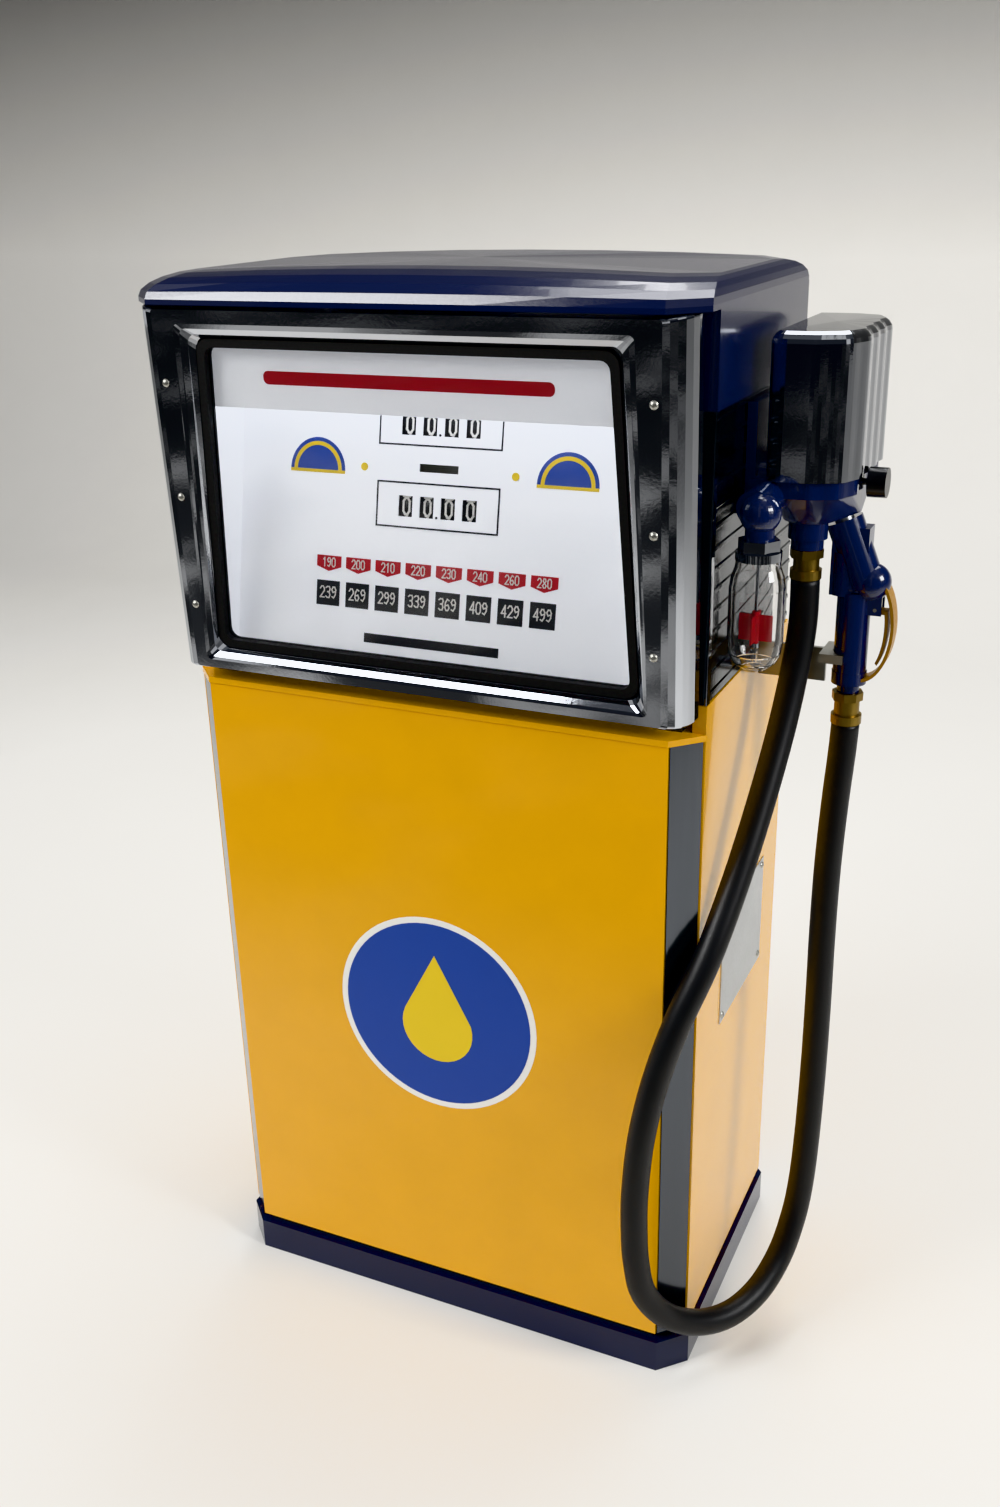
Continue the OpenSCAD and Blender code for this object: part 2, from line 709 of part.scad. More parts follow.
module nozzle_swivel() {
    color("goldenrod") difference() {
        union() {
            rod_z(swivel_z, 948, handle_x, handle_y, 32);
            translate([handle_x, handle_y, 947]) cylinder(r = 20, h = 10.7, $fn = 8);
        }
        rod_z(929, 960, handle_x, handle_y, 20.1);
    }
}

module nozzle_bracket() {
    low = 1000;
    high = 1012;
    color("lightgray") {
        box(hx, hx + 4, handle_y - 25, handle_y + 25, low, high + 34);
        box(hx + 3, handle_x - 30, handle_y - 3, handle_y + 3, low - 32, high);
        slab(low, high) difference() {
            translate([handle_x - 34, handle_y - 28]) square([30, 56]);
            translate([handle_x, handle_y]) circle(r = 21.6);
        }
    }
}

module switch_lever() {
    color(steel) {
        rod_x(hx - 18, hx + 14, switch_y, switch_z, 10);
        rod_x(hx + 9, hx + 15, switch_y, switch_z, 18);
        box(hx + 9, hx + 15, switch_y - 6, switch_y + 6, switch_z - 50, switch_z);
        rod_x(hx + 9, hx + 28, switch_y, switch_z - 50, 14);
    }
}

module switch_boss() {
    color(steel) difference() {
        rod_x(hx, hx + 8.7, switch_y, switch_z, 34);
        rod_x(hx - 5, hx + 12, switch_y, switch_z, 10.1);
    }
}

plate_y0 = -85;
plate_z0 = 497;

module label_plate() {
    color("lightsteelblue") difference() {
        box(hx, hx + 1.2, plate_y0, plate_y0 + 200, plate_z0, plate_z0 + 165);
        for (y = [10, 190], z = [10, 155]) rod_x(hx - 1, hx + 3, plate_y0 + y, plate_z0 + z, 5);
    }
}

// Domed screw head that stands on a plane, facing -Y
module screw_head() intersection() {
    translate([0, 3, 0]) sphere(6);
    box(-7, 7, -4, 0, -7, 7);
}

module screws() {
    color(steel) {
        on_face() both_sides() for (h = [90, 232, 374]) translate([bezel_hw - 13, 0, h]) screw_head();
        for (y = [10, 190], z = [10, 155])
            translate([hx + 1.2, plate_y0 + y, plate_z0 + z]) rotate([0, 0, 90]) screw_head();
        for (x = [-1, 1] * (fx - 20), z = [1000, 1410])
            translate([x, head_rear, z]) rotate([0, 0, 180]) screw_head();
    }
}

// ---------------------------------------------------------------- works

module motor() {
    color("slategray") {
        rod_y(-60, 170, motor_x, motor_z, 160);
        rod_y(-70, -60, motor_x, motor_z, 120);
        rod_y(pulley_y - 12, -70, motor_x, motor_z, 15.98);
        difference() {
            box(motor_x - 70, motor_x + 70, -40, 150, plinth_h + 3, motor_z - 60);
            box(motor_x - 58, motor_x + 58, -50, 160, plinth_h + 10, motor_z - 90);
        }
    }
}

// A pulley with one groove; its belt runs at radius r
module pulley(x, z, r, bore) {
    translate([x, pulley_y, z]) rotate([90, 0, 0]) difference() {
        rotate_extrude($fn = 64) polygon([[bore / 2, -9], [r + 5, -9], [r + 5, -7], [r - 6, -3],
            [r - 6, 3], [r + 5, 7], [r + 5, 9], [bore / 2, 9]]);
        for (a = [0:60:300]) rotate([0, 0, a]) translate([r * 0.6, 0, -20])
            cylinder(r = r * 0.16, h = 40);
    }
}

module motor_pulley() color("gray") pulley(motor_x, motor_z, motor_r, 16.1);

module pump_pulley() color("gray") pulley(pump_x, pump_z, pump_r, 20.1);

module drive_belt() {
    module loop(g) hull() {
        translate([motor_x, -motor_z]) circle(motor_r + g);
        translate([pump_x, -pump_z]) circle(pump_r + g);
    }
    color("black") translate([0, pulley_y - 3.8, 0]) rotate([-90, 0, 0])
        linear_extrude(7.6) difference() { loop(4); loop(-2.5); }
}

module pump_unit() {
    color("firebrick") {
        box(pump_x - 100, pump_x + 100, -40, 140, plinth_h + 3, plinth_h + 15);
        box(pump_x - 85, pump_x + 85, -30, 130, plinth_h + 15, 300);
        rod_y(-70, -30, pump_x, pump_z, 110);
        rod_y(pulley_y - 12, -70, pump_x, pump_z, 19.98);
        rod_z(300, 320, pump_x - 45, 20, 80);
        rod_z(300, 320, pump_x + 45, 85, 80);
    }
}

module flow_meters() {
    color("steelblue") {
        for (x = [-115, 115]) {
            rod_z(472, 590, x, shaft_y + 20, 150);
            rod_z(590, 610, x, shaft_y + 20, 100);
            box(x - 50, x + 50, shaft_y - 30, 110, 440, 472);
        }
        difference() {
            box(-46, 46, shaft_y - 25, shaft_y + 25, 560, 620);
            rod_z(599.5, 640, 0, shaft_y, 10.1);
        }
    }
}

// A bend between pipes of one diameter
module bend(x, y, z, d) translate([x, y, z]) sphere(d = d + 6);

module pipework() {
    d = 48;
    e = 34;
    color("darkgray") {
        // suction risers through the base
        for (x = riser_x) difference() {
            union() {
                rod_z(20, 260, x, riser_y, d);
                rod_y(130, riser_y, x, 260, d);
                bend(x, riser_y, 260, d);
            }
            rod_z(10, 230, x, riser_y, 40);
        }
        // pump to meters
        rod_z(320, 440, pump_x - 45, 20, e);
        rod_z(320, 380, pump_x + 45, 85, e);
        bend(pump_x + 45, 85, 380, e);
        rod_x(-115, pump_x + 45, 85, 380, e);
        bend(-115, 85, 380, e);
        rod_z(380, 440, -115, 85, e);
        // meters to the hose outlet
        rod_z(610, pipe_z, 115, pipe_y, e);
        bend(115, pipe_y, pipe_z, e);
        rod_x(115, 240, pipe_y, pipe_z, e);
        bend(240, pipe_y, pipe_z, e);
        rod_y(pipe_y, -30, 240, pipe_z, e);
        bend(240, -30, pipe_z, e);
        rod_x(240, hx, -30, pipe_z, e);
        rod_z(610, pipe_z, -115, pipe_y, e);
        bend(-115, pipe_y, pipe_z, e);
        rod_y(pipe_y, 30, -115, pipe_z, e);
        bend(-115, 30, pipe_z, e);
        rod_x(-115, hx, 30, pipe_z, e);
    }
}

module junction_box() {
    low = plinth_h + 60;
    color("gray") {
        box(conduit_x - 24, conduit_x + 24, conduit_y - 45, conduit_y + 45, low, low + 130);
        rod_z(20, low, conduit_x, conduit_y, 27);
    }
}

module panel_lock() {
    z = panel_top - 60;
    color(steel) {
        rod_y(hy - 24, hy + 3, 0, z, 22);
        rod_y(hy + 0.4, hy + 5, 0, z, 28);
        box(-9, 9, hy - 24, hy - 21, z - 8, z + 42);
    }
}

// ---------------------------------------------------------------- nodes

base_plinth();
base_pan();
uprights();
front_panel();
rear_panel();
side_panel_right();
side_panel_left();
corner_strips();
cabinet_ledges();
head_frame();
bezel();
glass_gasket();
dial_glass();
dial_plate();
head_side_right();
head_side_left();
head_rear_panel();
head_trims();
roof_cap();
lamp_tube();
lamp_holders();
computer_frame();
counter_shafts();
sale_wheel_1();
sale_wheel_2();
sale_wheel_3();
sale_wheel_4();
gallons_wheel_1();
gallons_wheel_2();
gallons_wheel_3();
gallons_wheel_4();
drive_shaft();
outlet_casting();
outlet_canopy();
selector_knob();
sight_glass_nut();
sight_glass();
sight_spinner();
outlet_fitting();
hose();
nozzle_body();
nozzle_spout();
nozzle_guard();
nozzle_lever();
lever_pin();
nozzle_swivel();
nozzle_bracket();
switch_lever();
switch_boss();
label_plate();
screws();
motor();
motor_pulley();
pump_pulley();
drive_belt();
pump_unit();
flow_meters();
pipework();
junction_box();
panel_lock();
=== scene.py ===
"""Looks of a blending fuel pump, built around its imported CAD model."""

from math import cos, pi, radians, sin

import bpy
from bpy.props import FloatProperty, PointerProperty, StringProperty
from bpy.types import Operator, Panel, PropertyGroup
from mathutils import Matrix, Vector


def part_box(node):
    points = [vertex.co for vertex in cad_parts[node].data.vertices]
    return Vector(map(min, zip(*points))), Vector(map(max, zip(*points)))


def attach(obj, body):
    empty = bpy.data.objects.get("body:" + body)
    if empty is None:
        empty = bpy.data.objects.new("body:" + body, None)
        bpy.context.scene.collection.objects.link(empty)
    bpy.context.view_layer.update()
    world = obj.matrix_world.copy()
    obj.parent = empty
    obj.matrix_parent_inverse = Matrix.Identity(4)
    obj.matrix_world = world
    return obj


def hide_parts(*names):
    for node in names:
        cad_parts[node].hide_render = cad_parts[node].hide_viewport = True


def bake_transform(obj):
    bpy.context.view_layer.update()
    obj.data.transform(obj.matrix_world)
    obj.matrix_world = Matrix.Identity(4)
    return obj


bl_info = {
    "name": "Blending fuel pump",
    "version": (1, 0, 0),
    "blender": (4, 5, 0),
    "location": "3D View > Sidebar > Pump",
    "description": "Builds the finishes, dial, hose and stage of a blending fuel pump",
    "category": "Object",
}

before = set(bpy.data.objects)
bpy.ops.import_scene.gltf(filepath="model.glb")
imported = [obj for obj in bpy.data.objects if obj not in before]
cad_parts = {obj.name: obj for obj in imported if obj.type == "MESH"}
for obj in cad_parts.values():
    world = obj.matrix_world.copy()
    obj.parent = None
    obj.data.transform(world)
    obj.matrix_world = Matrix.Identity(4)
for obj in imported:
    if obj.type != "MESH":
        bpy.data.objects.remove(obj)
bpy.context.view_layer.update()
MM = 0.001

# The bezel leans forward and the dial leans back behind it, as in the CAD
LEAN = radians(2.6)
DIAL_LEAN = radians(14)
BEZEL_FOOT = Vector((0, -0.249, 0.980))
DIAL_FOOT = Vector((0, 0.044, 0.012))
FACE = Matrix.Translation(BEZEL_FOOT) @ Matrix.Rotation(LEAN, 4, "X")
DIAL = FACE @ Matrix.Translation(DIAL_FOOT) @ Matrix.Rotation(-DIAL_LEAN, 4, "X")
SALE = 310          # heights of the two counters up the dial, in mm
GALLONS = 210
WHEEL_DEPTH = 38
WHEEL_PITCH = 29.5
WHEEL_FACE = 33.8    # where the numerals start, just outside the drum
INK = 0.3            # thickness of a printed layer, in mm

# The camera's place, its axes and its lens
CAMERA_AT = (0.8213, -1.7422, 1.5936)
CAMERA_RIGHT = Vector((0.90821, 0.41788, -0.02285))
CAMERA_DOWN = Vector((0.13825, -0.35111, -0.92607))
CAMERA_AHEAD = Vector((-0.39501, 0.83791, -0.37666))
LENS = 34.7
SENSOR = 36

# Centreline of the hose, from its outlet to the nozzle's swivel
HOSE_ROUTE = [
    (0.424, 0, 1.109), (0.424, 0, 1.050), (0.419, -0.012, 0.985), (0.413, -0.042, 0.915),
    (0.404, -0.090, 0.835), (0.392, -0.148, 0.750), (0.375, -0.207, 0.665), (0.349, -0.241, 0.585),
    (0.327, -0.257, 0.500), (0.313, -0.266, 0.415), (0.307, -0.269, 0.330), (0.307, -0.269, 0.270),
    (0.310, -0.268, 0.220), (0.319, -0.261, 0.164), (0.344, -0.239, 0.116), (0.378, -0.203, 0.084),
    (0.412, -0.158, 0.073), (0.439, -0.109, 0.084), (0.457, -0.063, 0.116), (0.467, -0.032, 0.164),
    (0.472, -0.016, 0.220), (0.474, -0.005, 0.300), (0.474, 0.006, 0.400), (0.473, 0.013, 0.500),
    (0.471, 0.019, 0.610), (0.471, 0.024, 0.710), (0.474, 0.028, 0.800), (0.478, 0.030, 0.870),
    (0.480, 0.030, 0.915)]


# ---------------------------------------------------------------- properties


class PumpColours(PropertyGroup):
    """Colours a user would change."""

    body: StringProperty(name="Body", description="Cabinet enamel", default="E8A800")
    trim: StringProperty(name="Trim", description="Roof and plinth enamel", default="020F38")
    nozzle: StringProperty(name="Nozzle", description="Nozzle and outlet enamel", default="04184A")
    red: StringProperty(name="Red", description="Red markings", default="C3202C")
    lever: StringProperty(name="Lever", description="Nozzle lever and guard", default="A8791C")


class PumpSizes(PropertyGroup):
    """Sizes a user would change."""

    hose: FloatProperty(name="Hose", description="Outside diameter", default=0.036, unit="LENGTH")
    badge: FloatProperty(name="Badge", description="Radius of the badge", default=0.150, unit="LENGTH")
    digit: FloatProperty(name="Digit", description="Height of a digit", default=0.020, unit="LENGTH")
    lamp: FloatProperty(name="Lamp", description="Strength of the lamp", default=3.0, min=0)


# ---------------------------------------------------------------- materials

made_materials = {}


def linear(code):
    """An sRGB hex colour as linear RGBA."""
    channels = [int(code[i:i + 2], 16) / 255 for i in (0, 2, 4)]
    return [c / 12.92 if c <= 0.04045 else ((c + 0.055) / 1.055) ** 2.4 for c in channels] + [1]


def add_node(tree, kind, links=None, **values):
    """Adds a node, sets its properties or inputs, and links its inputs from sockets."""
    made = tree.nodes.new(kind)
    for key, value in values.items():
        if hasattr(made, key):
            setattr(made, key, value)
        else:
            made.inputs[key.replace("_", " ")].default_value = value
    for key, socket in (links or {}).items():
        tree.links.new(socket, made.inputs[key])
    return made


def finish(name, colour, rough, metal=0.0, wear=0.25, grain=0.002, bump=0.02, size_mm=4.0,
           stretch=(1, 1, 1), **more):
    """A real finish: colour and roughness vary with noise whose cells are size_mm across."""
    if name in made_materials:
        return made_materials[name]
    mat = bpy.data.materials.new(name)
    mat.use_nodes = True
    tree = mat.node_tree
    tree.nodes.clear()
    place = add_node(tree, "ShaderNodeTexCoord")
    scaled = add_node(tree, "ShaderNodeMapping", {"Vector": place.outputs["Object"]}, Scale=stretch)
    broad = add_node(tree, "ShaderNodeTexNoise", {"Vector": scaled.outputs["Vector"]},
                     Scale=1 / (size_mm * 20 * MM), Detail=4.0)
    fine = add_node(tree, "ShaderNodeTexNoise", {"Vector": scaled.outputs["Vector"]},
                    Scale=1 / (size_mm * MM), Detail=3.0)
    tone = add_node(tree, "ShaderNodeMix", {"Factor": broad.outputs["Fac"]}, data_type="RGBA")
    base = linear(colour)
    tone.inputs[6].default_value = [c * (1 - wear * 0.5) for c in base[:3]] + [1]
    tone.inputs[7].default_value = [min(1, c * (1 + wear * 0.35)) for c in base[:3]] + [1]
    sheen = add_node(tree, "ShaderNodeMapRange", {"Value": fine.outputs["Fac"]},
                     To_Min=max(0.02, rough * (1 - wear)), To_Max=min(1, rough * (1 + wear)))
    relief = add_node(tree, "ShaderNodeBump", {"Height": fine.outputs["Fac"]}, Strength=bump,
                      Distance=grain)
    shader = add_node(tree, "ShaderNodeBsdfPrincipled", {
        "Base Color": tone.outputs[2], "Roughness": sheen.outputs["Result"],
        "Normal": relief.outputs["Normal"]}, Metallic=metal, **more)
    out = add_node(tree, "ShaderNodeOutputMaterial", {"Surface": shader.outputs["BSDF"]})
    out.is_active_output = True
    mat.diffuse_color = base
    made_materials[name] = mat
    return mat


def library(colours, lamp):
    """Every finish on the pump."""
    return {
        # stoved gloss enamel over steel sheet
        "yellow": finish("gloss_yellow_enamel", colours.body, 0.24, wear=0.14, bump=0.03, Coat_Weight=0.5),
        "navy": finish("gloss_navy_enamel", colours.trim, 0.2, wear=0.2, Coat_Weight=0.3),
        "nozzle": finish("gloss_blue_enamel", colours.nozzle, 0.22, wear=0.25, Coat_Weight=0.6),
        "ochre": finish("worn_ochre_enamel", colours.lever, 0.38, wear=0.5, size_mm=3),
        # chrome plate on pressed steel, its base colour toned a little darker than bright chrome, which
        # paints in darker reflections
        "chrome": finish("chrome_plate", "B9BCC2", 0.05, 1.0, wear=0.08, bump=0.01),
        # stainless steel on the head's sides and the corners, its base colour darkened far below stainless
        # to paint in dark reflections, as of a dim forecourt
        "steel_painted_dark_reflection": finish("stainless_with_painted_dark_reflection", "5E6166", 0.14, 1.0, wear=0.3, stretch=(1, 1, 0.05)),
        "zinc": finish("zinc_plate", "B4B3AC", 0.36, 1.0, wear=0.4, size_mm=2),
        "primer": finish("dark_primer", "2B2E30", 0.6, wear=0.4),
        "brass": finish("worn_brass", "8E7848", 0.34, 1.0, wear=0.5, size_mm=2),
        "aluminium": finish("plain_aluminium", "BFC2C4", 0.34, 1.0, wear=0.3),
        "rubber": finish("rubber_seal", "111111", 0.62, wear=0.3, bump=0.1),
        "hose": finish("hose_rubber", "17181A", 0.45, wear=0.5, bump=0.12, size_mm=1.2),
        "drum": finish("black_counter_plastic", "121214", 0.4, wear=0.2),
        "knob": finish("black_phenolic", "0E0E10", 0.22, wear=0.2),
        "spinner": finish("red_acetal", colours.red, 0.3, wear=0.2),
        "white": finish("white_digit_paint", "F2F0EA", 0.5, wear=0.05),
        "ink": finish("dial_black_ink", "24262B", 0.5, wear=0.1),
        "red": finish("dial_red_ink", colours.red, 0.45, wear=0.1),
        "blue": finish("dial_blue_ink", "2C4A9E", 0.45, wear=0.1),
        "gold": finish("dial_yellow_ink", "E8C832", 0.45, wear=0.1),
        # white acrylic that the lamp shines through
        "dial": finish("lit_white_acrylic", "E9EAEC", 0.42, wear=0.03, Emission_Color=linear("F4F7FF"),
                       Emission_Strength=0.32),
        "lamp": finish("fluorescent_lamp", "FFFFFF", 0.4, wear=0.02, Emission_Color=linear("F6F9FF"),
                       Emission_Strength=lamp),
        "glass": finish("clear_glass", "FFFFFF", 0.02, wear=0.05, bump=0.0, IOR=1.5,
                        Transmission_Weight=1.0),
        "iron": finish("grey_cast_iron", "55585C", 0.55, 0.7, wear=0.4, bump=0.2),
        "pump_red": finish("red_machine_enamel", "7A2018", 0.45, wear=0.4, bump=0.1),
        "pipe": finish("galvanised_pipe", "8F9294", 0.45, 0.9, wear=0.5, size_mm=8),
    }


# What each CAD node is finished with
NODE_FINISH = {
    "yellow": ["front_panel", "rear_panel", "side_panel_right", "side_panel_left", "cabinet_ledges"],
    "navy": ["base_plinth", "roof_cap", "head_rear_panel"],
    "nozzle": ["outlet_casting", "nozzle_body"],
    "ochre": ["nozzle_lever", "nozzle_guard"],
    "chrome": ["bezel", "outlet_canopy", "sight_glass_nut", "switch_lever", "switch_boss",
               "panel_lock", "head_trims"],
    # these parts get stainless darkened in colour, a painted dark reflection
    "steel_painted_dark_reflection": ["corner_strips", "head_side_right", "head_side_left"],
    "zinc": ["computer_frame", "counter_shafts", "drive_shaft", "lever_pin", "screws", "nozzle_bracket"],
    "primer": ["base_pan", "uprights", "head_frame", "motor", "junction_box"],
    "brass": ["outlet_fitting", "nozzle_swivel"],
    "aluminium": ["nozzle_spout", "label_plate"],
    "rubber": ["glass_gasket", "drive_belt"],
    "hose": ["hose"],
    "drum": [f"{kind}_wheel_{i}" for kind in ("sale", "gallons") for i in range(1, 5)],
    "knob": ["selector_knob"],
    "spinner": ["sight_spinner"],
    "dial": ["dial_plate"],
    "lamp": ["lamp_tube"],
    "white": ["lamp_holders"],
    "glass": ["dial_glass", "sight_glass"],
    "iron": ["motor_pulley", "pump_pulley", "flow_meters"],
    "pump_red": ["pump_unit"],
    "pipe": ["pipework"],
}


# ---------------------------------------------------------------- mesh helpers


def piece(name, points, faces, mat, body="cabinet", place=None, smooth=False):
    """A mesh object from points in metres, in the row frame once `place` is applied."""
    mesh = bpy.data.meshes.new(name)
    mesh.from_pydata([tuple(p) for p in points], [], faces)
    mesh.validate()
    if place is not None:
        mesh.transform(place)
    mesh.update()
    mesh.materials.append(mat)
    for polygon in mesh.polygons:
        polygon.use_smooth = smooth
    made = bpy.data.objects.new(name, mesh)
    bpy.context.scene.collection.objects.link(made)
    if body:
        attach(made, body)
    return made


def plates(outlines, y0, y1):
    """Points and faces of flat plates: outlines of (x, z) in mm, from depth y0 to y1."""
    points, faces = [], []
    for line in outlines:
        n, at = len(line), len(points)
        points += [(x * MM, y0 * MM, z * MM) for x, z in line] + [(x * MM, y1 * MM, z * MM) for x, z in line]
        faces.append([at + i for i in range(n)])
        faces.append([at + n + i for i in reversed(range(n))])
        faces += [[at + i, at + n + i, at + n + (i + 1) % n, at + (i + 1) % n] for i in range(n)]
    return points, faces


def merge(parts):
    """Points and faces of several meshes as one."""
    points, faces = [], []
    for got, around in parts:
        faces += [[len(points) + v for v in face] for face in around]
        points += got
    return points, faces


def rect(x0, x1, z0, z1):
    """A rectangle in x and z."""
    return [(x0, z0), (x1, z0), (x1, z1), (x0, z1)]


def rounded(x0, x1, z0, z1, r, steps=6):
    """A rectangle with rounded corners."""
    line = []
    corners = ((x1 - r, z0 + r, -90), (x1 - r, z1 - r, 0), (x0 + r, z1 - r, 90), (x0 + r, z0 + r, 180))
    for cx, cz, start in corners:
        turns = [radians(start + 90 * i / steps) for i in range(steps + 1)]
        line += [(cx + r * cos(a), cz + r * sin(a)) for a in turns]
    return line


def sector(cx, cz, r, a0, a1, steps=24, inner=0.0):
    """A sector of a disc, or of a ring when inner is above 0."""
    angles = [radians(a0 + (a1 - a0) * i / steps) for i in range(steps + 1)]
    line = [(cx + r * cos(a), cz + r * sin(a)) for a in angles]
    if inner:
        return line + [(cx + inner * cos(a), cz + inner * sin(a)) for a in reversed(angles)]
    return line + [(cx, cz)]


def bars(x0, x1, z0, z1, w):
    """The four bars of a frame."""
    return [rect(x0, x1, z0, z0 + w), rect(x0, x1, z1 - w, z1),
            rect(x0, x0 + w, z0 + w, z1 - w), rect(x1 - w, x1, z0 + w, z1 - w)]


# Strokes of the numerals, as points on a 1 wide by 2 high grid
STROKES = {
    "0": [[(0, 0.4), (0, 1.6), (0.3, 2), (0.7, 2), (1, 1.6), (1, 0.4), (0.7, 0), (0.3, 0), (0, 0.4)]],
    "1": [[(0.2, 1.6), (0.55, 2), (0.55, 0)]],
    "2": [[(0, 1.6), (0.3, 2), (0.7, 2), (1, 1.6), (1, 1.2), (0, 0), (1, 0)]],
    "3": [[(0, 1.8), (0.3, 2), (0.8, 2), (1, 1.6), (0.8, 1.1), (0.4, 1.05), (0.8, 1), (1, 0.5), (0.8, 0),
           (0.3, 0), (0, 0.2)]],
    "4": [[(0.8, 0), (0.8, 2), (0, 0.6), (1, 0.6)]],
    "6": [[(0.9, 1.8), (0.5, 2), (0.1, 1.4), (0, 0.5), (0.3, 0), (0.7, 0), (1, 0.5), (0.7, 1), (0.1, 0.8)]],
    "8": [[(0.5, 1.05), (0.1, 1.5), (0.3, 2), (0.7, 2), (0.9, 1.5), (0.5, 1.05), (0, 0.5), (0.3, 0),
           (0.7, 0), (1, 0.5), (0.5, 1.05)]],
    "9": [[(0.1, 0.2), (0.5, 0), (0.9, 0.6), (1, 1.5), (0.7, 2), (0.3, 2), (0, 1.5), (0.3, 1), (0.9, 1.2)]],
}


def numeral(text, cx, cz, h, weight):
    """Outlines of a number centred at cx with its foot at cz."""
    w = h * 0.42
    step = w * 1.45
    lines = []
    for k, mark in enumerate(text):
        x0 = cx - (len(text) - 1) * step / 2 + k * step - w / 2
        for stroke in STROKES[mark]:
            for (xa, za), (xb, zb) in zip(stroke, stroke[1:]):
                a = Vector((x0 + xa * w, cz + za * h / 2))
                b = Vector((x0 + xb * w, cz + zb * h / 2))
                along = (b - a).normalized() * weight / 2
                side = Vector((-along.y, along.x))
                lines.append([tuple(a - along - side), tuple(b + along - side), tuple(b + along + side),
                              tuple(a - along + side)])
    return lines


def smooth_path(points, count):
    """Catmull-Rom curve through the points."""
    line = []
    for i in range(len(points) - 1):
        p = [Vector(points[max(0, min(len(points) - 1, i + k))]) for k in (-1, 0, 1, 2)]
        for s in range(count):
            t = s / count
            line.append(0.5 * (2 * p[1] + (p[2] - p[0]) * t + (2 * p[0] - 5 * p[1] + 4 * p[2] - p[3]) * t * t
                               + (3 * p[1] - p[0] - 3 * p[2] + p[3]) * t * t * t))
    return line + [Vector(points[-1])]


def tube(path, radius, sides=24):
    """Points and faces of a round tube along a path, carried by a frame that doesn't twist."""
    points, faces = [], []
    up = Vector((0.8, -0.6, 0)).normalized()
    n = len(path)
    for i, centre in enumerate(path):
        along = (path[min(n - 1, i + 1)] - path[max(0, i - 1)]).normalized()
        up = (up - along * up.dot(along)).normalized()
        side = along.cross(up)
        points += [centre + (up * cos(2 * pi * k / sides) + side * sin(2 * pi * k / sides)) * radius
                   for k in range(sides)]
    for i in range(n - 1):
        for k in range(sides):
            a, b = i * sides + k, i * sides + (k + 1) % sides
            faces.append([a, b, b + sides, a + sides])
    faces.append(list(reversed(range(sides))))
    faces.append([(n - 1) * sides + k for k in range(sides)])
    return points, faces


def finishes():
    """The library, made with the scene's colours and lamp."""
    return library(bpy.context.scene.pump_colours, bpy.context.scene.pump_sizes.lamp)


# ---------------------------------------------------------------- operators


